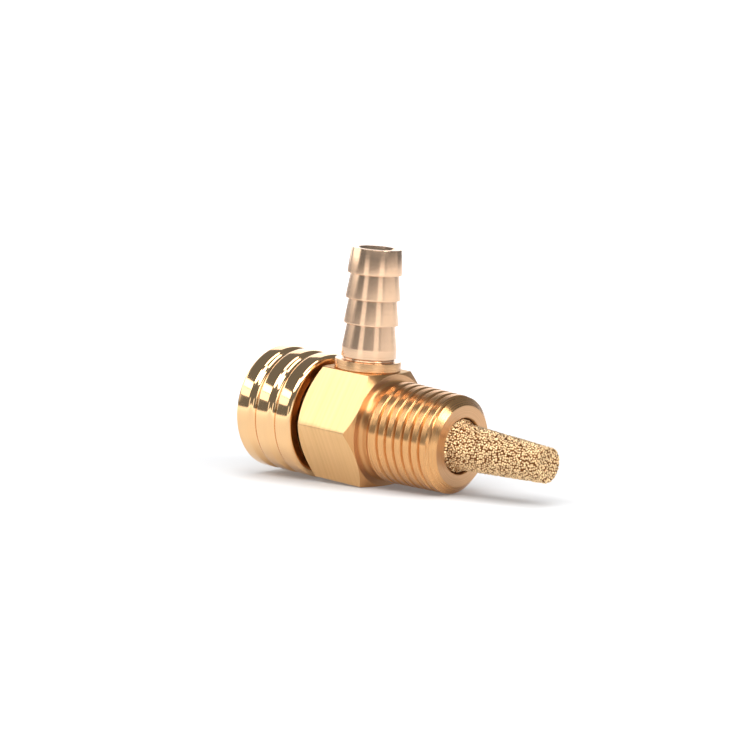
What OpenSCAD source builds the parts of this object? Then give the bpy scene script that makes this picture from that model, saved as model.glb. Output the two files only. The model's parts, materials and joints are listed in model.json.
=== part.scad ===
// Angle shut-off valve, millimetres.
// The main axis is X. The origin is the centre of the hex shoulder, from which the pipe
// thread stands out along +X. The hose barb stands along +Z, and the knob is at -X.

/* [Hex body] */
// Width across the flats of the hexagon bar
hex_af = 15.42; // [15.2:0.02:16]
// Length of the hexagon along the main axis
hex_len = 9.9; // [9.7:0.05:10.6]
// Axial length of the turned chamfer at the thread end
front_chamfer = 0.98; // [0.6:0.02:1.1]
// Axial length of the turned chamfer at the knob end
rear_chamfer = 0.8; // [0.6:0.02:1.1]

/* [Pipe thread] */
// Distance from the hex shoulder to the mouth
reach = 12.55; // [12.2:0.05:13.4]
// Thread pitch, 18 turns to the inch
pitch = 1.411; // [1.3:0.001:1.45]
// Crest radius at the mouth
crest_r = 6.6275; // [6.6:0.0025:6.7]
// Depth of the thread's grooves below the flat crests
thread_h = 0.5; // [0.4:0.01:0.6]
// Radius of the neck between the hexagon and the thread
neck_r = 6.45; // [6.2:0.05:6.6]
// Radius of the mouth bore
mouth_r = 3.83; // [3.75:0.01:3.9]

/* [Sintered element] */
// Free length of the cone in front of the mouth
cone_len = 14.4; // [12:0.1:16]
// Radius of the cone at the mouth
cone_base_r = 3.24; // [3.1:0.02:3.4]
// Radius of the cone at the tip
cone_tip_r = 2.43; // [2.3:0.01:2.6]
// Wall thickness of the cup
cone_wall = 0.95; // [0.7:0.05:1.1]

/* [Hose barb] */
// Radius of the flange
flange_r = 4.56; // [4.4:0.02:4.8]
// Thickness of the flange
flange_h = 1.34; // [1.2:0.02:1.5]
// Height of the barb's top above the main axis
barb_top = 24.39; // [24:0.05:26]
// Radius of the tooth edges
tooth_r = 3.79; // [3.7:0.01:3.9]
// Radius at the foot of each tooth
tooth_foot_r = 3.32; // [3.2:0.02:3.5]
// Height of the lowest tooth edge above the main axis
first_tooth = 13.99; // [13.7:0.05:14.2]
// Distance from one tooth edge to the next
tooth_pitch = 3.45; // [3.3:0.05:3.5]
// Radius of the bore through the barb
barb_bore_r = 2.3; // [2:0.05:2.4]

/* [Knob] */
// Radius of the three lands
land_r = 8.68; // [8.4:0.02:9]
// Width of one land
land_w = 1.62; // [1.5:0.02:1.7]
// Width of one grip groove
groove_w = 2.0; // [1.8:0.05:2.1]
// Depth of one grip groove
groove_d = 0.48; // [0.3:0.02:0.55]
// Rounding of the two rims
rim_round = 0.63; // [0.4:0.01:0.8]
// Gap between the hexagon and the closed knob
knob_gap = 1.05; // [0.9:0.05:1.2]

/* [Valve] */
// Lift of the seat disc at the fully open stop
lift = 2.0; // [1:0.1:2]
// Radius of the flow hole in the seat
orifice_r = 1.9; // [1.5:0.05:1.9]
// Radial clearance of the running fits
fit = 0.05; // [0.03:0.01:0.08]

/* [Hidden] */
$fn = 64;
// Overlap that keeps two joined volumes from sharing a face
eps = 0.01;
// Length by which a cutter runs past the face that it opens
over = 1;

// Hexagon and barb stations
hex_corner_r = hex_af / sqrt(3);
flat_z = hex_af / 2;
// The turned chamfers end just inside the flats
face_step = 0.02;
rear_x = -hex_len;
barb_x = rear_x / 2;

// Pipe thread: the crest grows by 1 in 32 towards the hexagon
taper = 1 / 32;
neck_len = 1.3;
run_in = 0.5;
first_root_x = 3.2;
root_count = 6;
root_half = pitch * 0.22;
end_chamfer = 1.07;
function crest_at(x) = crest_r + (reach - x) * taper;

// Passage through the body
element_seat_x = 8.6;
inlet_r = 2.9;
seat_wall_x = -1.0;
chamber_x0 = -2.6;
chamber_x1 = -7.3;
chamber_r = 3.6;
seat_lip_h = 0.35;
seat_lip_w = 0.5;
seat_x = chamber_x0 - seat_lip_h;

// Sintered element
collar_r = mouth_r - 0.13;
collar_x = reach - 0.25;
collar_edge = 0.15;
press_land = 2.4;
tip_x = reach + cone_len;
tip_round = 0.35;
end_wall = 1.75;

// Barb seat in the top flat
spigot_r = 3.2;
spigot_z = 5.2;
seal_r = 4.0;
seal_h = 0.8;
flange_z = flat_z + flange_h;
undercut_h = 0.35;
undercut_r = 3.6;
base_r = tooth_r;
base_land = 0.4;
edge_land = 0.25;
flange_edge = 0.15;

// Bonnet
bonnet_thread_r = 4.6;
bonnet_hex_af = 11;
bonnet_flange = 2.0;
bonnet_neck_r = 3.9;
bonnet_end_x = rear_x - 5.7;
bonnet_seal_r = 5.3;
bonnet_seal_w = 0.7;
bore_step_x = rear_x - 3.1;

// Stem
land_seal_r = 2.9;
stem_thread_r = 2.5;
stem_nose_x = -5.1;
stem_shoulder_x = bore_step_x + lift + 0.1;
ring_groove_r = 2.2;
ring_groove_w = 1.0;
ring_x = [-8.2, -9.7];
knob_seat_x = bonnet_end_x - 0.5;
spigot_flat = 3.2;
spigot_round_r = 2.2;
spigot_end_x = knob_seat_x - 2.7;

// Seat plug and its clip
plug_r = 3.0;
disc_r = 2.6;
disc_h = 1.0;
disc_recess = 0.6;
plug_back_x = stem_nose_x + 0.1;
stud_r = 1.2;
stud_end_x = -8.1;
socket_spare = 0.2;
clip_x = -6.7;
clip_w = 0.4;
clip_root_r = 0.9;
clip_r = 1.55;

// Knob and its screw
knob_x0 = rear_x - knob_gap;
knob_len = 3 * land_w + 2 * groove_w + 2 * rim_round;
knob_x1 = knob_x0 - knob_len;
cup_r = 6.9;
recess_r = 3.3;
recess_x = spigot_end_x - 0.2;
screw_r = 1.25;
washer_h = 0.3;
screw_len = 4.3;
screw_end_x = recess_x - washer_h + screw_len;
tap_spare = 0.4;
washer_r = 2.6;
washer_play = 0.1;
head_r = 2.4;
head_h = 1.3;
head_x = recess_x - washer_h - head_h;
slot_w = 0.6;
slot_d = 0.6;

// Solid of revolution about the main axis, from a half section of [x, r] points
module turned(section) {
    rotate([0, 90, 0])
        rotate_extrude()
            polygon([for (p = section) [p[1], p[0]]]);
}

// Solid of revolution about the barb's axis, from a half section of [z, r] points
module turned_up(section) {
    translate([barb_x, 0, 0])
        rotate_extrude()
            polygon([for (p = section) [p[1], p[0]]]);
}

// Round rod or bore along the main axis, between two stations
module rod_x(r, xa, xb) {
    translate([min(xa, xb), 0, 0])
        rotate([0, 90, 0])
            cylinder(h = abs(xb - xa), r = r);
}

// Round rod or bore along the barb's axis, between two heights
module rod_z(r, za, zb) {
    translate([barb_x, 0, za])
        cylinder(h = zb - za, r = r);
}

// Ring of square section round the main axis, as a squeezed O-ring fills its groove
module ring_x(r_in, r_out, xc, w) {
    difference() {
        rod_x(r_out, xc - w / 2, xc + w / 2);
        rod_x(r_in, xc - w / 2 - over, xc + w / 2 + over);
    }
}

// Hexagon bar along the main axis, with a corner on each side and a flat on top
module hex_bar(af, xa, xb) {
    translate([min(xa, xb), 0, 0])
        rotate([0, 90, 0])
            rotate([0, 0, 30])
                cylinder(h = abs(xb - xa), r = af / sqrt(3), $fn = 6);
}

module chamfered_hexagon() {
    intersection() {
        hex_bar(hex_af, rear_x, 0);
        turned([
            [rear_x, 0],
            [rear_x, flat_z - face_step],
            [rear_x + rear_chamfer, hex_corner_r + eps],
            [-front_chamfer, hex_corner_r + eps],
            [0, flat_z - face_step],
            [0, 0]
        ]);
    }
}

// Neck and taper thread: the roots are V grooves, one pitch apart
module threaded_neck() {
    turned(concat(
        [
            [-over, 0],
            [-over, neck_r],
            [neck_len, neck_r],
            [neck_len + run_in, crest_at(neck_len + run_in)]
        ],
        [for (k = [0 : root_count - 1], s = [-1, 0, 1])
            let (x = first_root_x + k * pitch + s * root_half)
                [x, crest_at(x) - (s == 0 ? thread_h : 0)]],
        [
            [reach - end_chamfer, crest_at(reach - end_chamfer)],
            [reach, crest_r - end_chamfer],
            [reach, 0]
        ]
    ));
}

module hex_body() {
    color("goldenrod")
        difference() {
            union() {
                difference() {
                    union() {
                        chamfered_hexagon();
                        threaded_neck();
                    }
                    rod_x(mouth_r, element_seat_x, reach + over);
                    rod_x(inlet_r, seat_wall_x, element_seat_x + eps);
                    rod_x(chamber_r, chamber_x1 - eps, chamber_x0);
                    rod_x(bonnet_thread_r, rear_x - over, chamber_x1);
                    rod_z(barb_bore_r, 0, spigot_z + eps);
                    rod_z(spigot_r, spigot_z, flat_z + over);
                    rod_z(seal_r, flat_z - seal_h, flat_z + over);
                }
                rod_x(orifice_r + seat_lip_w, chamber_x0 + eps, seat_x);
            }
            rod_x(orifice_r, seat_wall_x + over, seat_x - over);
        }
}

module sintered_element() {
    color("burlywood")
        turned([
            [element_seat_x, cone_base_r - cone_wall],
            [element_seat_x, mouth_r],
            [element_seat_x + press_land, mouth_r],
            [element_seat_x + press_land, collar_r],
            [collar_x - collar_edge, collar_r],
            [collar_x, collar_r - collar_edge],
            [collar_x, cone_base_r],
            [reach, cone_base_r],
            [tip_x - tip_round, cone_tip_r],
            [tip_x, cone_tip_r - tip_round],
            [tip_x, 0],
            [tip_x - end_wall, 0],
            [tip_x - end_wall, cone_tip_r - cone_wall]
        ]);
}

module barb_fitting() {
    color("rosybrown")
        difference() {
            turned_up(concat(
                [
                    [spigot_z, 0],
                    [spigot_z, spigot_r],
                    [flat_z, spigot_r],
                    [flat_z, flange_r - flange_edge],
                    [flat_z + flange_edge, flange_r],
                    [flange_z - flange_edge, flange_r],
                    [flange_z, flange_r - flange_edge],
                    [flange_z, undercut_r],
                    [flange_z + undercut_h, undercut_r],
                    [flange_z + undercut_h, base_r],
                    [flange_z + undercut_h + base_land, base_r],
                    [first_tooth, tooth_foot_r]
                ],
                [for (k = [0 : 2])
                    let (z = first_tooth + k * tooth_pitch)
                        each [
                            [z, tooth_r],
                            [z + edge_land, tooth_r],
                            [k < 2 ? z + tooth_pitch : barb_top, tooth_foot_r]
                        ]],
                [[barb_top, 0]]
            ));
            rod_z(barb_bore_r, spigot_z - over, barb_top + over);
        }
}

module barb_seal() {
    color("dimgray")
        difference() {
            rod_z(seal_r, flat_z - seal_h, flat_z);
            rod_z(spigot_r, flat_z - seal_h - over, flat_z + over);
        }
}

module bonnet() {
    color("darkkhaki")
        difference() {
            union() {
                rod_x(bonnet_thread_r, chamber_x1, rear_x);
                hex_bar(bonnet_hex_af, rear_x, rear_x - bonnet_flange);
                rod_x(bonnet_neck_r, rear_x, bonnet_end_x);
            }
            rod_x(land_seal_r + fit, chamber_x1 + over, bore_step_x);
            rod_x(stem_thread_r + fit, bore_step_x + eps, bonnet_end_x - over);
            difference() {
                rod_x(bonnet_seal_r, rear_x + eps, rear_x - bonnet_seal_w);
                rod_x(bonnet_thread_r, rear_x + over, rear_x - over);
            }
        }
}

module bonnet_seal() {
    color("dimgray")
        ring_x(bonnet_thread_r, bonnet_seal_r, rear_x - bonnet_seal_w / 2, bonnet_seal_w);
}

// The part of the drive spigot that both the stem and the knob's hole are cut to
module drive_spigot(xa, xb) {
    intersection() {
        rod_x(spigot_round_r, xa, xb);
        translate([min(xa, xb), -spigot_flat / 2, -spigot_round_r])
            cube([abs(xb - xa), spigot_flat, 2 * spigot_round_r]);
    }
}

module stem() {
    color("khaki")
        difference() {
            union() {
                rod_x(land_seal_r, stem_nose_x, stem_shoulder_x);
                rod_x(stem_thread_r, stem_shoulder_x, knob_seat_x);
                drive_spigot(knob_seat_x, spigot_end_x);
            }
            for (x = ring_x) {
                ring_x(ring_groove_r, land_seal_r + over, x, ring_groove_w);
            }
            rod_x(stud_r + fit, stem_nose_x + over, stud_end_x - socket_spare);
            rod_x(clip_r + fit, clip_x - clip_w / 2 - fit, clip_x + clip_w / 2 + fit);
            rod_x(screw_r, screw_end_x + tap_spare, spigot_end_x - over);
        }
}

module front_stem_seal() {
    color("dimgray")
        ring_x(ring_groove_r, land_seal_r + fit / 2, ring_x[0], ring_groove_w);
}

module rear_stem_seal() {
    color("dimgray")
        ring_x(ring_groove_r, land_seal_r + fit / 2, ring_x[1], ring_groove_w);
}

module seat_plug() {
    color("khaki")
        difference() {
            union() {
                rod_x(plug_r, seat_x - disc_h + disc_recess, plug_back_x);
                rod_x(stud_r, plug_back_x, stud_end_x);
            }
            rod_x(disc_r, seat_x, seat_x - disc_h);
            ring_x(clip_root_r, stud_r + over, clip_x, clip_w);
        }
}

module seat_disc() {
    color("black")
        rod_x(disc_r, seat_x, seat_x - disc_h);
}

module plug_clip() {
    color("silver")
        ring_x(clip_root_r, clip_r, clip_x, clip_w);
}

// Half section of the knob's outside: three lands, two round grooves and two round rims
module knob_section() {
    groove_round = (pow(groove_w / 2, 2) + pow(groove_d, 2)) / (2 * groove_d);
    difference() {
        union() {
            translate([0, knob_x1])
                square([land_r - rim_round, knob_len]);
            translate([0, knob_x1 + rim_round])
                square([land_r, knob_len - 2 * rim_round]);
            for (x = [knob_x1 + rim_round, knob_x0 - rim_round]) {
                translate([land_r - rim_round, x])
                    circle(r = rim_round);
            }
        }
        for (k = [0, 1]) {
            x = knob_x0 - rim_round - land_w - groove_w / 2 - k * (land_w + groove_w);
            translate([land_r - groove_d + groove_round, x])
                circle(r = groove_round);
        }
    }
}

module knob() {
    color("gold")
        difference() {
            rotate([0, 90, 0])
                rotate_extrude()
                    knob_section();
            rod_x(cup_r, knob_x0 + over, knob_seat_x);
            drive_spigot(knob_seat_x + eps, recess_x - eps);
            rod_x(recess_r, recess_x, knob_x1 - over);
        }
}

module knob_screw() {
    color("gold")
        difference() {
            union() {
                rod_x(screw_r, screw_end_x, recess_x - washer_h);
                rod_x(head_r, recess_x - washer_h, head_x);
            }
            translate([head_x - over, -slot_w / 2, -head_r - over])
                cube([over + slot_d, slot_w, 2 * (head_r + over)]);
        }
}

module lock_washer() {
    color("silver")
        ring_x(screw_r + washer_play, washer_r, recess_x - washer_h / 2, washer_h);
}

hex_body();
sintered_element();
barb_fitting();
barb_seal();
bonnet();
bonnet_seal();
stem();
front_stem_seal();
rear_stem_seal();
seat_plug();
seat_disc();
plug_clip();
knob();
knob_screw();
lock_washer();
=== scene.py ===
# %% [markdown]
# # A brass angle valve with a sintered silencer cone
# The object is a small valve turned from brass bar. A hexagonal body carries a taper
# pipe thread with a porous bronze cone in its mouth, a hose barb stands on one flat, and
# a polished knob turns the stem from the other end. We model the six pieces that show
# as a turner would make them: first a profile spun about the axis, then the cuts. The
# small pieces inside (stem, plug, seals, clip, washer) keep the frame's own solids.

import json
import math
import random

import bpy
import numpy as np
from mathutils import Matrix, Vector, kdtree


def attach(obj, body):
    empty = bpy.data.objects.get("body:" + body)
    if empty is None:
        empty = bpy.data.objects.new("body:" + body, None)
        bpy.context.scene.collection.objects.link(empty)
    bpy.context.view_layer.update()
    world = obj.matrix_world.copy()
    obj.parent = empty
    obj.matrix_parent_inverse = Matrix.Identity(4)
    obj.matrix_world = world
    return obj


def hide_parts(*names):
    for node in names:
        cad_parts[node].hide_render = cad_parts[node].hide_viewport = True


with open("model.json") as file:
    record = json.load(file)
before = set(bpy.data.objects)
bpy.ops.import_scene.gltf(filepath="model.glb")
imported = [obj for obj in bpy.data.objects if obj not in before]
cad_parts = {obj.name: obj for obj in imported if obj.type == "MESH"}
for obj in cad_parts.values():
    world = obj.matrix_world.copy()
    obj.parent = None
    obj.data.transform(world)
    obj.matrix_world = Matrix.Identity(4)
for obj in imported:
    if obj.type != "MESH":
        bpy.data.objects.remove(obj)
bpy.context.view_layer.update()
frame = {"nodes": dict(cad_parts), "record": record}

# %% [markdown]
# ## Helpers for turned work
# Almost every piece here is round, so it starts as a profile: a chain of points at some
# place along the axis and some radius. We could start from a cylinder and scale its
# rings, but drawing the profile once by extruding a vertex, and spinning it, keeps every
# radius where the drawing has it and closes the mesh by itself.

# %% Units, axes and selection
MM = 0.001
AROUND = 144
BARB_X = -4.95


def select_only(piece):
    """Makes one object the active and only selected one."""
    bpy.ops.object.select_all(action="DESELECT")
    piece.select_set(True)
    bpy.context.view_layer.objects.active = piece


def edit(piece):
    """Opens a piece in edit mode with everything selected."""
    select_only(piece)
    bpy.ops.object.mode_set(mode="EDIT")
    bpy.ops.mesh.select_mode(type="VERT")
    bpy.ops.mesh.select_all(action="SELECT")


def leave():
    """Goes back to object mode."""
    bpy.ops.object.mode_set(mode="OBJECT")


def apply(piece, kind, **settings):
    """Adds a modifier with these settings and applies it."""
    select_only(piece)
    bpy.ops.object.modifier_add(type=kind)
    modifier = piece.modifiers[-1]
    for name, value in settings.items():
        setattr(modifier, name, value)
    bpy.ops.object.modifier_apply(modifier=modifier.name)


print("a full turn has", AROUND, "steps of", 360 / AROUND, "degrees")

# %% Draw a profile and spin it
def place(station, upright):
    """A profile's (along, radius) in millimetres as a point in the frame."""
    along, radius = station
    if upright:
        return Vector((BARB_X + radius, 0, along)) * MM
    return Vector((along, 0, radius)) * MM


def draw(name, stations, upright=False, closed=True):
    """A chain of edges through the stations, made by extruding one vertex."""
    bpy.ops.object.select_all(action="DESELECT")
    bpy.ops.mesh.primitive_plane_add(size=MM, location=(0, 0, 0))
    piece = bpy.context.object
    piece.name = piece.data.name = name
    edit(piece)
    bpy.ops.mesh.merge(type="CENTER")
    points = [place(s, upright) for s in stations]
    if closed:
        points.append(points[0])
    bpy.ops.transform.translate(value=points[0])
    for here, there in zip(points, points[1:]):
        bpy.ops.mesh.extrude_vertices_move(TRANSFORM_OT_translate={"value": there - here})
    bpy.ops.mesh.select_all(action="SELECT")
    bpy.ops.mesh.remove_doubles(threshold=1e-7)
    leave()
    return piece


def turn(name, stations, upright=False, closed=True, steps=AROUND):
    """A solid of revolution about the main axis, or about the barb's axis."""
    piece = draw(name, stations, upright, closed)
    edit(piece)
    centre = (BARB_X * MM, 0, 0) if upright else (0, 0, 0)
    axis = (0, 0, 1) if upright else (1, 0, 0)
    bpy.ops.mesh.spin(steps=steps, angle=math.tau, center=centre, axis=axis)
    bpy.ops.mesh.select_all(action="SELECT")
    bpy.ops.mesh.remove_doubles(threshold=1e-7)
    bpy.ops.mesh.normals_make_consistent(inside=False)
    leave()
    return piece


def arc(along, radius, bend, start, end, steps):
    """Points on a profile's rounding with this centre, from one angle to another."""
    angles = [math.radians(start + (end - start) * k / steps) for k in range(steps + 1)]
    return [(along + bend * math.cos(a), radius + bend * math.sin(a)) for a in angles]


def cut(piece, tool, operation="DIFFERENCE"):
    """A Boolean with another solid, which is then thrown away."""
    apply(piece, "BOOLEAN", operation=operation, object=tool, solver="EXACT")
    bpy.data.objects.remove(tool)


def hex_bar(across_flats, x0, x1, corner):
    """A hexagonal bar on the main axis, corners at +Y and -Y, with rounded long edges."""
    bpy.ops.object.select_all(action="DESELECT")
    bpy.ops.mesh.primitive_cylinder_add(
        vertices=6,
        radius=across_flats / math.sqrt(3) * MM,
        depth=(x1 - x0) * MM,
        location=((x0 + x1) / 2 * MM, 0, 0),
        rotation=(0, math.pi / 2, 0),
    )
    bar = bpy.context.object
    bpy.ops.object.transform_apply(location=True, rotation=True, scale=True)
    bpy.ops.object.mode_set(mode="EDIT")
    bpy.ops.mesh.select_mode(type="EDGE")
    bpy.ops.mesh.select_all(action="DESELECT")
    leave()
    at = bar.data.vertices
    for edge in bar.data.edges:
        a, b = (at[v].co for v in edge.vertices)
        edge.select = abs(a.x - b.x) > 0.5 * (x1 - x0) * MM
    bpy.ops.object.mode_set(mode="EDIT")
    bpy.ops.mesh.bevel(offset=corner * MM, segments=3, affect="EDGES")
    leave()
    return bar


def count(piece):
    """Prints a piece's size and how many triangles it has."""
    low = [round(min(v.co[k] for v in piece.data.vertices) / MM, 2) for k in range(3)]
    high = [round(max(v.co[k] for v in piece.data.vertices) / MM, 2) for k in range(3)]
    triangles = sum(len(p.vertices) - 2 for p in piece.data.polygons)
    print(piece.name, "from", low, "to", high, "mm,", triangles, "triangles")


def finish(piece, body, slot, *nodes, smooth=32):
    """Shades a piece, hangs it on its body and lets it stand for its CAD nodes."""
    select_only(piece)
    bpy.ops.object.shade_smooth_by_angle(angle=math.radians(smooth), keep_sharp_edges=False)
    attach(piece, body)
    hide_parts(*nodes)
    count(piece)


# %% [markdown]
# ## The knob
# The knob is a deep cup of polished brass with three lands and two round grooves. Its
# mirror finish shows every break in the surface, so the rims and grooves are drawn as
# true arcs in the profile, and not left to a bevel afterwards. Each groove is a convex
# shoulder that flows into a concave bottom and out again. The hole for the stem is left
# round, as its flats are hidden under the screw.

# %% The knob's profile
LAND_R = 8.68
RIM = 0.63
KNOB_FRONT = -10.95
KNOB_REAR = -21.07
SHOULDER = 0.68
BOTTOM = 0.75
LEAN = 46.0


def groove(start):
    """Stations of a round groove whose first edge is at this place, going to -X."""
    sin, cos = math.sin(math.radians(LEAN)), math.cos(math.radians(LEAN))
    run = (SHOULDER + BOTTOM) * sin
    low = LAND_R - (SHOULDER + BOTTOM) * (1 - cos)
    down = arc(start, LAND_R - SHOULDER, SHOULDER, 90, 90 + LEAN, 8)
    across = arc(start - run, low + BOTTOM, BOTTOM, -90 + LEAN, -90 - LEAN, 14)
    up = arc(start - 2 * run, LAND_R - SHOULDER, SHOULDER, 90 - LEAN, 90, 8)
    return down + across[1:-1] + up


knob_profile = (
    [(-16.1, 2.2), (-16.1, 6.75), (-15.95, 6.9), (-11.15, 6.9), (-10.95, 7.1)]
    + arc(KNOB_FRONT - RIM, LAND_R - RIM, RIM, 0, 90, 12)
    + groove(-13.2)
    + groove(-16.82)
    + arc(KNOB_REAR + RIM, LAND_R - RIM, RIM, 90, 180, 12)
    + [(KNOB_REAR, 3.55), (KNOB_REAR + 0.25, 3.3), (-19.15, 3.3), (-19.0, 3.15), (-19.0, 2.2)]
)
print("knob profile:", len(knob_profile), "stations")

# %% Turn the knob
knob = turn("polished_knob", knob_profile, steps=384)
finish(knob, "spindle", "polished_brass", "knob")

# %% [markdown]
# ## The body's thread
# A taper pipe thread is one groove that runs round the neck as a screw. We could cut it
# from a blank with a helical tool, but the fine flats of the crests would then be broken
# up by the cut. Instead one pitch of the profile is wound along the axis with the Screw
# modifier, and each point is then drawn in to the taper, to the fading run-out at the
# shoulder and to the chamfer at the mouth.

# %% One pitch of the thread
PITCH = 25.4 / 18
THREAD_START = 1.0
MOUTH = 12.55
CHAMFER_X = 11.48
MOUTH_FACE_R = 5.5
NECK_R = 6.45
WOUND_R = 8.0
# Half of the groove: how far from its middle, and how deep below the crest there
GROOVE_HALF = [(0.0, 0.47), (0.035, 0.46), (0.07, 0.42), (0.23, 0.07), (0.26, 0.02), (0.3, 0.0)]
FIRST_GROOVE = 3.2
GROOVE_ANGLE = 165.0


def crest(x):
    """Radius over the crests: a taper of one in sixteen on the diameter."""
    return 6.6275 + (MOUTH - x) / 32


one_pitch = [(-dx, WOUND_R - depth) for dx, depth in reversed(GROOVE_HALF[1:])]
one_pitch += [(dx, WOUND_R - depth) for dx, depth in GROOVE_HALF]
plain = PITCH - 2 * GROOVE_HALF[-1][0]
one_pitch += [(GROOVE_HALF[-1][0] + plain * k / 8, WOUND_R) for k in range(1, 9)]
first_turn = FIRST_GROOVE + PITCH * ((90 - GROOVE_ANGLE) / 360 - 3)
one_pitch = [(first_turn + x, r) for x, r in one_pitch]
print("pitch", round(PITCH, 3), "mm in", len(one_pitch), "stations")

# %% Wind it and shape the taper, run-out and chamfer
sleeve = draw("sleeve", one_pitch, closed=False)
apply(
    sleeve,
    "SCREW",
    axis="X",
    angle=math.tau,
    screw_offset=PITCH * MM,
    iterations=12,
    steps=AROUND,
    render_steps=AROUND,
    use_merge_vertices=False,
)
points = np.zeros(len(sleeve.data.vertices) * 3)
sleeve.data.vertices.foreach_get("co", points)
points = points.reshape(-1, 3) / MM
along = points[:, 0].clip(THREAD_START, MOUTH)
near_edge = abs(along - CHAMFER_X) < plain / 16  # half a step of the crest
along[near_edge] = CHAMFER_X
wound = np.hypot(points[:, 1], points[:, 2])
fade = ((along - 1.7) / 1.5).clip(0, 1)
fade = fade * fade * (3 - 2 * fade)
rise = ((along - 1.15) / 0.75).clip(0, 1)
blank = NECK_R + (crest(along) - NECK_R) * rise * rise * (3 - 2 * rise)
chamfer_run = (along - CHAMFER_X) / (MOUTH - CHAMFER_X)
chamfer = crest(CHAMFER_X) + (MOUTH_FACE_R - crest(CHAMFER_X)) * chamfer_run
blank = np.where(along > CHAMFER_X, chamfer, blank)
radius = np.minimum(blank, crest(along) - (WOUND_R - wound) * fade)
radius = np.where(along <= 1.5, blank, radius)
points[:, 1:] *= (radius / wound)[:, None]
points[:, 0] = along
sleeve.data.vertices.foreach_set("co", (points * MM).ravel())
edit(sleeve)
bpy.ops.mesh.remove_doubles(threshold=4e-6)
bpy.ops.mesh.dissolve_degenerate(threshold=1e-6)
leave()
count(sleeve)

# %% [markdown]
# ## The body
# The body is hexagonal bar, faced and chamfered at both ends in the lathe. So the blank
# is one turned profile with all its bores, left open where the thread belongs, and the
# hexagon comes from keeping only what lies inside a hexagonal bar. The curved edges
# where the chamfer meets the flats then come out by themselves.

# %% Turn the blank and join the thread to it
AF = 15.42
body_profile = (
    [(MOUTH, MOUTH_FACE_R), (MOUTH, 3.93), (MOUTH - 0.1, 3.83), (8.6, 3.83), (8.6, 2.9)]
    + [(-1.0, 2.9), (-1.0, 1.9), (-2.95, 1.9), (-2.95, 2.2), (-2.6, 2.6), (-2.6, 3.6)]
    + [(-7.3, 3.6), (-7.3, 4.6), (-9.75, 4.6), (-9.9, 4.75), (-9.9, 7.69), (-9.0, 9.05)]
    + [(-1.1, 9.05), (0.0, 7.69)]
    + [(0.0, 7.05)] + arc(0.6, 7.05, 0.6, 180, 270, 8)[1:] + [(0.6, NECK_R), (THREAD_START, NECK_R)]
)
body = turn("valve_body_hexagon", body_profile, closed=False)
bpy.ops.object.select_all(action="DESELECT")
sleeve.select_set(True)
body.select_set(True)
bpy.context.view_layer.objects.active = body
bpy.ops.object.join()
edit(body)
bpy.ops.mesh.remove_doubles(threshold=4e-6)
bpy.ops.mesh.normals_make_consistent(inside=False)
leave()
count(body)

# %% Keep what lies in the hexagonal bar, and cut the barb's port
cut(body, hex_bar(AF, -15, 15, 0.14), "INTERSECT")
port = turn(
    "port",
    [(3.0, 0), (3.0, 2.3), (5.2, 2.3), (5.2, 3.2)]
    + [(6.91, 3.2), (6.91, 4.0), (9.0, 4.0), (9.0, 0)],
    upright=True,
    closed=False,
    steps=64,
)
cut(body, port)
finish(body, "valve_body", "brushed_brass", "hex_body")

# %% [markdown]
# ## The hose barb
# The barb is turned from a paler brass. Three tapered teeth end in sharp edges that grip
# the hose, and a flange clamps a seal on the flat. Only the tiny edge breaks would catch
# the light, so the profile carries them and the teeth stay crisp.

# %% Turn the barb
TOOTH_R, FOOT_R, TOP_R = 3.79, 3.32, 3.46
FIRST_TOOTH, TOOTH_PITCH, BARB_TOP = 13.99, 3.45, 24.39
barb_profile = [(5.2, 2.3), (5.2, 3.2), (7.71, 3.2), (7.71, 4.41), (7.86, 4.56), (8.93, 4.56)]
barb_profile += [(9.01, 4.53), (9.05, 4.45), (9.05, 3.76)]
barb_profile += arc(9.23, 3.76, 0.18, 180, 340, 10)[1:]
barb_profile += [(9.45, 3.79), (10.7, 3.79), (10.8, 3.78)]
barb_profile += [(FIRST_TOOTH - 0.06, FOOT_R), (FIRST_TOOTH, FOOT_R + 0.05)]
for k in range(3):
    edge = FIRST_TOOTH + k * TOOTH_PITCH
    barb_profile += [(edge, TOOTH_R - 0.03), (edge + 0.03, TOOTH_R), (edge + 0.25, TOOTH_R)]
    if k < 2:
        barb_profile += [(edge + TOOTH_PITCH - 0.06, FOOT_R), (edge + TOOTH_PITCH, FOOT_R + 0.05)]
barb_profile += [(BARB_TOP - 0.1, TOP_R), (BARB_TOP - 0.03, TOP_R - 0.03), (BARB_TOP, TOP_R - 0.1)]
barb_profile += [(BARB_TOP, 2.6), (BARB_TOP - 0.3, 2.3)]
barb = turn("hose_barb_fitting", barb_profile, upright=True)
finish(barb, "valve_body", "satin_brass", "barb_fitting")

# %% [markdown]
# ## The sintered cone
# The silencer cone is pressed from bronze powder: balls about a third of a millimetre
# across, fused where they touch, with pores between them. Thousands of separate balls
# would be a heavy mesh, so the cone is turned with a fine grid and each point of the
# skin is drawn in to the nearest ball, which leaves real balls and real pits. Each
# point's pit depth is kept too, and the pits are painted darker the deeper they are:
# painted shade. The wall of the blind bore is not drawn, so this mesh is an open shell
# on the inside.

# %% Turn the cone with a fine skin
SKIN = 0.057
CONE_FOOT = (12.3, 3.24)
TIP_X = 26.95
# From the collar over the cone to the middle of its tip
OUTLINE = [(11.0, 3.7), (12.15, 3.7), (12.3, 3.55), CONE_FOOT]
OUTLINE += [(26.78, 2.44), (26.9, 2.4), (TIP_X, 2.3), (TIP_X, 0.0)]


def fine(a, b, step):
    """Stations from a up to b, no further apart than this step."""
    n = max(1, math.ceil(math.dist(a, b) / step))
    return [(a[0] + (b[0] - a[0]) * k / n, a[1] + (b[1] - a[1]) * k / n) for k in range(n)]


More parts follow.
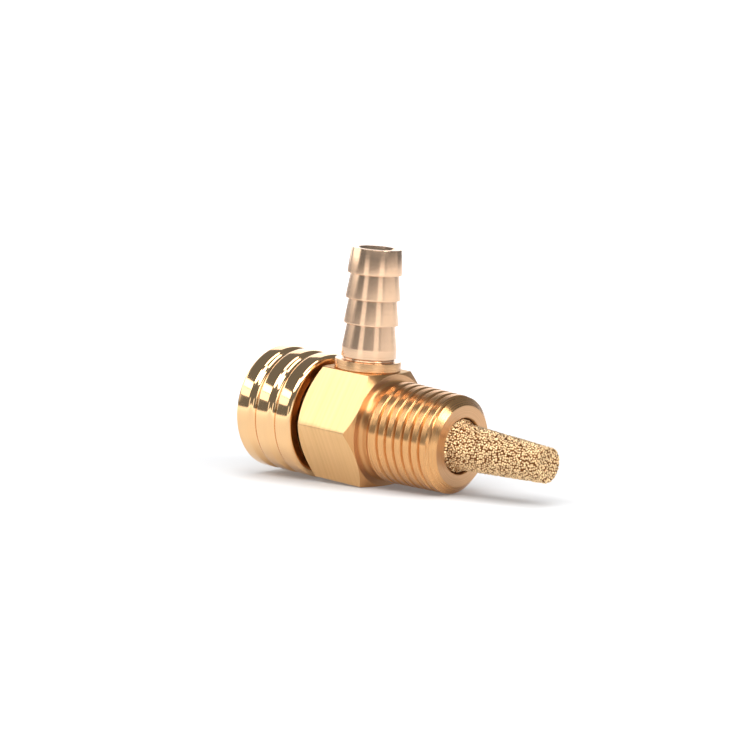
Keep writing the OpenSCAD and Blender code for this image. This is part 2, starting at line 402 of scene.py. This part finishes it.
cone_profile = [(8.6, 2.29), (8.6, 3.83), (10.95, 3.83), (11.0, 3.7)]
cone_profile += fine((11.6, 3.7), OUTLINE[1], SKIN)
for a, b in zip(OUTLINE[1:-2], OUTLINE[2:-1]):
    cone_profile += fine(a, b, SKIN)
cone_profile += fine(OUTLINE[-2], OUTLINE[-1], 0.08) + [OUTLINE[-1], (25.2, 0.0), (25.2, 1.48)]
cone = turn("sintered_cone", cone_profile, closed=False, steps=296)
count(cone)

# %% Scatter the balls over the skin
BALL = 0.172  # radius of a ball
ROW = 0.335  # from one row of balls to the next
MISSING = 0.03  # share of balls left out
chance = random.Random(11)
balls = kdtree.KDTree(6000)
ball_count = 0


def skin_at(s):
    """The point of the cone's outline at this distance from the collar."""
    for a, b in zip(OUTLINE, OUTLINE[1:]):
        span = math.dist(a, b)
        if s <= span:
            return [a[k] + (b[k] - a[k]) * s / span for k in range(2)]
        s -= span
    return None


s = 0.0
while skin_at(s):
    x, r = skin_at(s)
    around = max(1, round(math.tau * r / (ROW * 1.1)))
    turn_by = chance.random()
    for k in range(around):
        angle = math.tau * (k + turn_by + chance.uniform(-0.3, 0.3)) / around
        if chance.random() < MISSING:
            continue
        x2, r2 = skin_at(max(0.0, s + chance.uniform(-0.11, 0.11))) or (x, r)
        sunk = chance.uniform(0.0, 0.08)
        tag = round(sunk * 1000) + 100 * ball_count
        balls.insert((x2, r2 * math.cos(angle), r2 * math.sin(angle)), tag)
        ball_count += 1
    s += ROW
balls.balance()
print(ball_count, "balls of", 2 * BALL, "mm")

# %% Draw the skin in to the balls
DEEPEST = 0.24
BLEND = 0.012
points = np.zeros(len(cone.data.vertices) * 3)
cone.data.vertices.foreach_get("co", points)
points = points.reshape(-1, 3) / MM
pits = np.zeros(len(points))
for i, p in enumerate(points):
    r = math.hypot(p[1], p[2])
    outside = p[0] > 11.2 and (r > 3.1 or p[0] > 25.3 or r > 2.4 + (TIP_X - p[0]) * 0.05)
    if not outside:
        continue
    total = 0.0
    for _, tag, d in balls.find_n(p, 3):
        sunk = (tag % 100) / 1000
        if d < BALL:
            drop = BALL - math.sqrt(max(BALL * BALL - d * d, 0.0))
        else:
            drop = BALL + 1.5 * (d - BALL)
        total += math.exp(-(drop + sunk) / BLEND)
    depth = max(min(-BLEND * math.log(max(total, 1e-12)), DEEPEST), 0.0)
    if p[0] > 26.94:
        inward = (-1.0, 0.0)
    elif p[0] > 26.79:
        inward = (-0.7, -0.7)
    elif abs(p[0] - 12.3) < 1e-3 and r > 3.26:
        inward = (-1.0, 0.0)
    elif 12.14 < p[0] < 12.3 and r > 3.5:
        inward = (-0.7, -0.7)
    else:
        inward = (0.0, -1.0)
    pits[i] = depth
    points[i, 0] += inward[0] * depth
    if r > 1e-6:
        points[i, 1:] *= max(r + inward[1] * depth, 0.0) / r
cone.data.vertices.foreach_set("co", (points * MM).ravel())
# Keep each point's pit depth, for the painted shade in the pits
pit_shade = cone.data.attributes.new("pit_shade", "FLOAT", "POINT")
pit_shade.data.foreach_set("value", (pits / DEEPEST).clip(0, 1).astype(np.float32))
finish(cone, "valve_body", "sintered_bronze", "sintered_element", smooth=180)
print("deepest pit", round(float(pits.max()), 3), "mm, mean", round(float(pits.mean()), 3))

# %% [markdown]
# ## The bonnet and the knob's screw
# The bonnet is the screwed gland that holds the stem; its hexagon shows through the gap
# between body and knob. The screw sits in the knob's rear recess, with a slot that a
# small driver fits. Both are turned, and then cut by a bar or a slitting saw.

# %% Turn the bonnet and cut its hexagon
bonnet_profile = [(-7.3, 2.95), (-7.3, 4.4), (-7.5, 4.6), (-10.6, 4.6), (-10.6, 5.3)]
bonnet_profile += [(-9.9, 5.3), (-9.9, 5.45), (-10.4, 6.36), (-11.4, 6.36), (-11.9, 5.45)]
bonnet_profile += [(-11.9, 3.9), (-15.4, 3.9), (-15.6, 3.7)]
bonnet_profile += [(-15.6, 2.7), (-15.45, 2.55), (-13.0, 2.55), (-13.0, 2.95)]
bonnet = turn("bonnet_gland", bonnet_profile)
cut(bonnet, hex_bar(11, -20, 0, 0.1), "INTERSECT")
finish(bonnet, "valve_body", "turned_brass", "bonnet")

# %% Turn the knob's screw and saw its slot
screw_profile = [(-15.0, 0), (-15.0, 1.05), (-15.2, 1.25), (-19.3, 1.25), (-19.3, 2.3)]
screw_profile += [(-19.38, 2.4)]
screw_profile += [(-20.2, 2.4), (-20.38, 2.33), (-20.52, 2.15), (-20.6, 1.85), (-20.6, 0)]
screw = turn("knob_screw_slotted", screw_profile, closed=False, steps=96)
bpy.ops.object.select_all(action="DESELECT")
bpy.ops.mesh.primitive_cube_add(size=MM, location=(-20.3 * MM, 0, 0), scale=(0.6, 0.6, 6))
saw = bpy.context.object
bpy.ops.object.transform_apply(location=True, rotation=True, scale=True)
cut(screw, saw)
finish(screw, "spindle", "screw_brass", "knob_screw")

# %% [markdown]
# ## Finishes
# All the metal here is brass, but each piece left its machine with another skin: the
# knob is buffed to a mirror, the body keeps fine tool marks round its axis, the barb is
# a paler satin. The thread, the barb's flange, the faced ends and the drilled bores each
# have a finish of their own too. The knob's recess is rough like a bore, and its colour
# is painted paler and yellower than the knob's brass: painted light, for the light that
# bounces in the gap between knob and body. The base colour of a metal is the colour of
# its reflection, and the marks come from noise drawn out round the axis.

# %% Nodes for metals
MARK_HEIGHT = 1e-5


def new_material(name, color, roughness, metallic=1.0):
    """A plain material, with its nodes, links and shader at hand."""
    material = bpy.data.materials.new(name)
    material.use_nodes = True
    nodes = material.node_tree.nodes
    shader = nodes["Principled BSDF"]
    shader.inputs["Base Color"].default_value = (*color, 1)
    shader.inputs["Roughness"].default_value = roughness
    shader.inputs["Metallic"].default_value = metallic
    return material, nodes, material.node_tree.links, shader


def add(nodes, kind, **settings):
    """Adds a node and sets its inputs or its own settings by name."""
    node = nodes.new(kind)
    for name, value in settings.items():
        if name in node.inputs:
            node.inputs[name].default_value = value
        else:
            setattr(node, name, value)
    return node


def marks(nodes, links, stretch, scale, detail=4.0):
    """Noise on Object coordinates, drawn out so that it runs in rings or streaks."""
    where = add(nodes, "ShaderNodeTexCoord")
    mapping = add(nodes, "ShaderNodeMapping", Scale=stretch)
    noise = add(nodes, "ShaderNodeTexNoise", Scale=scale, Detail=detail)
    links.new(where.outputs["Object"], mapping.inputs["Vector"])
    links.new(mapping.outputs["Vector"], noise.inputs["Vector"])
    return noise.outputs["Fac"]


def rings(nodes, links, scale):
    """Noise by the distance from the main axis: the marks of a facing cut."""
    where = add(nodes, "ShaderNodeTexCoord")
    flat = add(nodes, "ShaderNodeVectorMath", operation="MULTIPLY")
    flat.inputs[1].default_value = (0, 1, 1)
    length = add(nodes, "ShaderNodeVectorMath", operation="LENGTH")
    noise = add(nodes, "ShaderNodeTexNoise", noise_dimensions="1D", Scale=scale, Detail=3.0)
    links.new(where.outputs["Object"], flat.inputs[0])
    links.new(flat.outputs["Vector"], length.inputs[0])
    links.new(length.outputs["Value"], noise.inputs["W"])
    return noise.outputs["Fac"]


def spread(nodes, links, value, low, high):
    """Maps noise to a range for roughness."""
    node = add(nodes, "ShaderNodeMapRange")
    node.inputs["From Min"].default_value = 0.3
    node.inputs["From Max"].default_value = 0.7
    node.inputs["To Min"].default_value = low
    node.inputs["To Max"].default_value = high
    links.new(value, node.inputs["Value"])
    return node.outputs["Result"]


def tint(nodes, links, value, dark, light, start=0.3, end=0.7):
    """Maps noise to a colour between two tones."""
    node = add(nodes, "ShaderNodeValToRGB")
    node.color_ramp.elements[0].position = start
    node.color_ramp.elements[0].color = (*dark, 1)
    node.color_ramp.elements[1].position = end
    node.color_ramp.elements[1].color = (*light, 1)
    links.new(value, node.inputs["Fac"])
    return node.outputs["Color"]


def raise_marks(nodes, links, shader, value, strength):
    """Bumps the skin by the marks, up to a hundredth of a millimetre."""
    bump = add(nodes, "ShaderNodeBump", Strength=strength, Distance=MARK_HEIGHT)
    links.new(value, bump.inputs["Height"])
    links.new(bump.outputs["Normal"], shader.inputs["Normal"])


def draw_out(nodes, links, shader, axis, amount):
    """Stretches the highlight along the axis, across tool marks that run round it."""
    tangent = add(nodes, "ShaderNodeTangent", direction_type="RADIAL", axis=axis)
    links.new(tangent.outputs["Tangent"], shader.inputs["Tangent"])
    shader.inputs["Anisotropic"].default_value = amount
    shader.inputs["Anisotropic Rotation"].default_value = 0.25


print("helpers for tool marks are ready")

# %% Mix the finishes
def worked_brass(
    name, color, shade, roughness, stretch, scale, strength, axis=None, amount=0.0
):
    """A metal whose colour, roughness and skin vary with one set of tool marks."""
    material, nodes, links, shader = new_material(name, color, roughness)
    if axis:
        draw_out(nodes, links, shader, axis, amount)
    value = marks(nodes, links, stretch, scale)
    links.new(tint(nodes, links, value, shade, color), shader.inputs["Base Color"])
    rough = spread(nodes, links, value, roughness * 1.12, roughness * 0.9)
    links.new(rough, shader.inputs["Roughness"])
    raise_marks(nodes, links, shader, value, strength)
    return material


# Noise stretched like this changes along the axis and hardly round it
ROUND_X = (9.0, 0.1, 0.1)
ROUND_Z = (0.1, 0.1, 9.0)
mirror = worked_brass(
    "mirror_brass", (0.87, 0.56, 0.285), (0.85, 0.53, 0.265),
    0.085, ROUND_X, 300, 0.01,
)
turned = worked_brass(
    "turned_brass_rings", (0.72, 0.39, 0.165), (0.66, 0.34, 0.135),
    0.34, ROUND_X, 1500, 0.06, "X", 0.93,
)
thread = worked_brass(
    "cut_brass_thread", (0.76, 0.42, 0.18), (0.68, 0.35, 0.14),
    0.28, ROUND_X, 1500, 0.05, "X", 0.86,
)
brushed = worked_brass(
    "brushed_brass_flats", (0.88, 0.56, 0.27), (0.80, 0.50, 0.23),
    0.38, ROUND_X, 260, 0.1, "X", 0.95,
)
satin = worked_brass(
    "satin_brass_rings", (0.74, 0.50, 0.33), (0.70, 0.46, 0.30),
    0.21, ROUND_Z, 700, 0.01, "Z", 0.6,
)
flange = worked_brass(
    "flange_brass_rings", (0.74, 0.45, 0.24), (0.68, 0.39, 0.19),
    0.28, ROUND_Z, 700, 0.02, "Z", 0.85,
)
drilled = worked_brass(
    "drilled_brass", (0.54, 0.44, 0.33), (0.44, 0.35, 0.26),
    0.5, ROUND_X, 900, 0.1,
)
# The knob's recess: rough like a bore, with its colour painted paler and yellower as painted light
# bounced in the gap
recess_painted_light = worked_brass(
    "recess_painted_light_brass", (0.86, 0.70, 0.40), (0.76, 0.60, 0.33),
    0.5, ROUND_X, 900, 0.1,
)
faced, nodes, links, shader = new_material("faced_brass", (0.70, 0.42, 0.23), 0.33)
draw_out(nodes, links, shader, "X", 0.9)
value = rings(nodes, links, 9000)
facing = tint(nodes, links, value, (0.64, 0.37, 0.19), (0.75, 0.45, 0.25))
links.new(facing, shader.inputs["Base Color"])
raise_marks(nodes, links, shader, value, 0.3)
grains, nodes, links, shader = new_material("sintered_grains", (0.9, 0.62, 0.32), 0.33)
# Painted shade: the grains go from bright brass on top to dark brown in the deepest pits, where
# light does not reach
pit_shade_value = add(nodes, "ShaderNodeAttribute", attribute_name="pit_shade").outputs["Fac"]
painted_pit_shade = tint(nodes, links, pit_shade_value, (1.0, 0.72, 0.40), (0.22, 0.09, 0.035), 0.25, 0.85)
links.new(painted_pit_shade, shader.inputs["Base Color"])
steel = worked_brass(
    "spring_steel", (0.6, 0.6, 0.6), (0.5, 0.5, 0.5),
    0.25, ROUND_X, 1200, 0.2,
)
rubber, nodes, links, shader = new_material("seal_rubber", (0.02, 0.02, 0.02), 0.5, 0.0)
raise_marks(nodes, links, shader, marks(nodes, links, (1, 1, 1), 4000), 0.3)
print(len(bpy.data.materials), "materials")

# %% Give every piece its finish
def cover(piece, *materials):
    """Gives a piece these materials in place of what it had."""
    piece.data.materials.clear()
    for material in materials:
        piece.data.materials.append(material)


cover(knob, mirror, recess_painted_light)
# Faces of the knob's inner cup, in the gap by the body, take the recess finish with its painted
# light
for face in knob.data.polygons:
    x, from_axis = face.center.x / MM, math.hypot(face.center.y, face.center.z) / MM
    face.material_index = 1 if from_axis < 7.0 and x > -17 else 0
cover(barb, satin, flange, drilled)
for face in barb.data.polygons:
    from_axis = math.hypot(face.center.x / MM - BARB_X, face.center.y / MM)
    face.material_index = 2 if from_axis < 2.35 else 1 if face.center.z < 9.04 * MM else 0
cover(cone, grains)
cover(bonnet, turned)
cover(screw, turned)
cover(body, turned, brushed, faced, thread)
for face in body.data.polygons:
    x, sideways = face.center.x / MM, abs(face.normal.x)
    from_axis = math.hypot(face.center.y, face.center.z) / MM
    if sideways > 0.98:
        face.material_index = 2
    elif x < -0.05 and sideways < 0.02 and from_axis > 7.5:
        face.material_index = 1
    else:
        face.material_index = 3 if 1.0 < x < MOUTH and from_axis > 5 else 0
slots = {"turned_brass": turned, "spring_steel": steel, "seal_rubber": rubber}
record_slots = {s["node"]: s["material_slot"] for s in frame["record"]["subparts"]}
for name, node in frame["nodes"].items():
    if not node.hide_render:
        cover(node, slots[record_slots[name]])
print("flats:", sum(1 for f in body.data.polygons if f.material_index == 1))

# %% [markdown]
# ## Floor, light and camera
# Polished metal looks like what stands around it. So the studio is built like a real
# one: a white floor, a window of light in two panes at the left, two soft boxes high at
# the front, a small one at the right, low strips for the barb and a panel behind. The
# box overhead would burn out the thread, so light linking gives it only the knob and
# the floor. The room is dim in reflections and pale where the camera looks past the
# floor, and the floor glows a little more the further out it is, to stay white.

# %% The floor
LEAN_OF_FLOOR = math.atan(0.0838)
FLOOR_Z = -7.71
FOCUS = Vector((-2, 0, 0)) * MM
bpy.ops.object.select_all(action="DESELECT")
bpy.ops.mesh.primitive_plane_add(
    size=4, location=(0, 0, FLOOR_Z * MM), rotation=(0, -LEAN_OF_FLOOR, 0)
)
floor = bpy.context.object
floor.name = "floor"
white, nodes, links, shader = new_material("white_floor", (0.58, 0.58, 0.58), 0.9, 0.0)
shader.inputs["Specular IOR Level"].default_value = 0.0
shader.inputs["Emission Color"].default_value = (1, 1, 1, 1)
where = add(nodes, "ShaderNodeTexCoord")
far = add(nodes, "ShaderNodeVectorMath", operation="LENGTH")
glow = add(nodes, "ShaderNodeMapRange")
GLOW = {"From Min": 0.04, "From Max": 0.3, "To Min": 0.13, "To Max": 1.05}
for name, value in GLOW.items():
    glow.inputs[name].default_value = value
links.new(where.outputs["Object"], far.inputs[0])
links.new(far.outputs["Value"], glow.inputs["Value"])
links.new(glow.outputs["Result"], shader.inputs["Emission Strength"])
cover(floor, white)
print("the floor leans", round(math.degrees(LEAN_OF_FLOOR), 1), "degrees, under hexagon and knob")

# %% The lights
def toward(azimuth, elevation):
    """The unit vector from the valve in this direction."""
    a, e = math.radians(azimuth), math.radians(elevation)
    return Vector((math.cos(a) * math.cos(e), math.sin(a) * math.cos(e), math.sin(e)))


def soft_box(name, azimuth, elevation, distance, wide, tall, brightness):
    """A rectangular light seen from the valve at this direction and angular size."""
    data = bpy.data.lights.new(name, "AREA")
    data.shape = "RECTANGLE"
    data.size = 2 * distance * math.tan(math.radians(wide / 2))
    data.size_y = 2 * distance * math.tan(math.radians(tall / 2))
    data.energy = brightness * 4 * data.size * data.size_y
    lamp = bpy.data.objects.new(name, data)
    bpy.context.scene.collection.objects.link(lamp)
    away = toward(azimuth, elevation)
    lamp.location = FOCUS + away * distance
    lamp.rotation_mode = "QUATERNION"
    lamp.rotation_quaternion = away.to_track_quat("Z", "Y")
    return lamp


# Name, azimuth and elevation, distance, width and height in degrees, brightness
LIGHTS = [
    ("window_high", -151, 26.5, 0.2, 42, 8.6, 2.7),
    ("window_low", -151, 16.5, 0.2, 42, 9.8, 1.6),
    ("box_front_left", -98, 51, 0.4, 31, 24, 4.4),
    ("box_front_right", -48, 51, 0.4, 31, 24, 4.4),
    ("backdrop", 140, 16.5, 0.6, 66, 33, 1.3),
    ("box_right", 0, 44, 0.4, 24, 14, 9.0),
    ("box_above", 0, 90, 0.5, 34, 34, 3.6),
    ("strip_left", -87, 7, 0.4, 20, 14, 1.0),
    ("strip_right", -21, 7, 0.4, 21, 14, 0.92),
    ("wall_left", -160, 6, 0.5, 46, 10, 0.5),
    ("wall_right", 30, 7, 0.5, 60, 16, 0.35),
]
lamps = {row[0]: soft_box(*row) for row in LIGHTS}
flagged = bpy.data.collections.new("lit_from_above")
for piece in (knob, floor):
    flagged.objects.link(piece)
lamps["box_above"].light_linking.receiver_collection = flagged
world = bpy.data.worlds.new("dim_room")
world.use_nodes = True
room = world.node_tree
room.nodes["Background"].inputs["Color"].default_value = (0.20, 0.22, 0.25, 1)
pale = add(room.nodes, "ShaderNodeBackground", Color=(1.1, 1.1, 1.1, 1))
either = add(room.nodes, "ShaderNodeMixShader")
seen = add(room.nodes, "ShaderNodeLightPath")
room.links.new(seen.outputs["Is Camera Ray"], either.inputs["Fac"])
room.links.new(room.nodes["Background"].outputs["Background"], either.inputs[1])
room.links.new(pale.outputs["Background"], either.inputs[2])
room.links.new(either.outputs["Shader"], room.nodes["World Output"].inputs["Surface"])
bpy.context.scene.world = world
bpy.context.scene.view_settings.view_transform = "Standard"

# %% The camera
CAMERA = Vector((212.07, -257.94, 59.82)) * MM
TURN, RISE, ROLL = 40.017, 8.815, 4.383
az, el, roll = (math.radians(v) for v in (TURN, RISE, ROLL))
back = Vector((math.sin(az) * math.cos(el), -math.cos(az) * math.cos(el), math.sin(el)))
right = Vector((math.cos(az), math.sin(az), 0))
up = back.cross(right)
across = math.cos(roll) * right + math.sin(roll) * up
upward = math.cos(roll) * up - math.sin(roll) * right
data = bpy.data.cameras.new("camera")
data.sensor_width = 36
data.lens = 121.04
data.clip_start = 0.01
camera = bpy.data.objects.new("camera", data)
bpy.context.scene.collection.objects.link(camera)
turn_matrix = Matrix((across, upward, back)).transposed().to_4x4()
camera.matrix_world = Matrix.Translation(CAMERA) @ turn_matrix
bpy.context.scene.camera = camera
print("camera at", [round(c / MM, 1) for c in CAMERA], "mm, lens", data.lens)
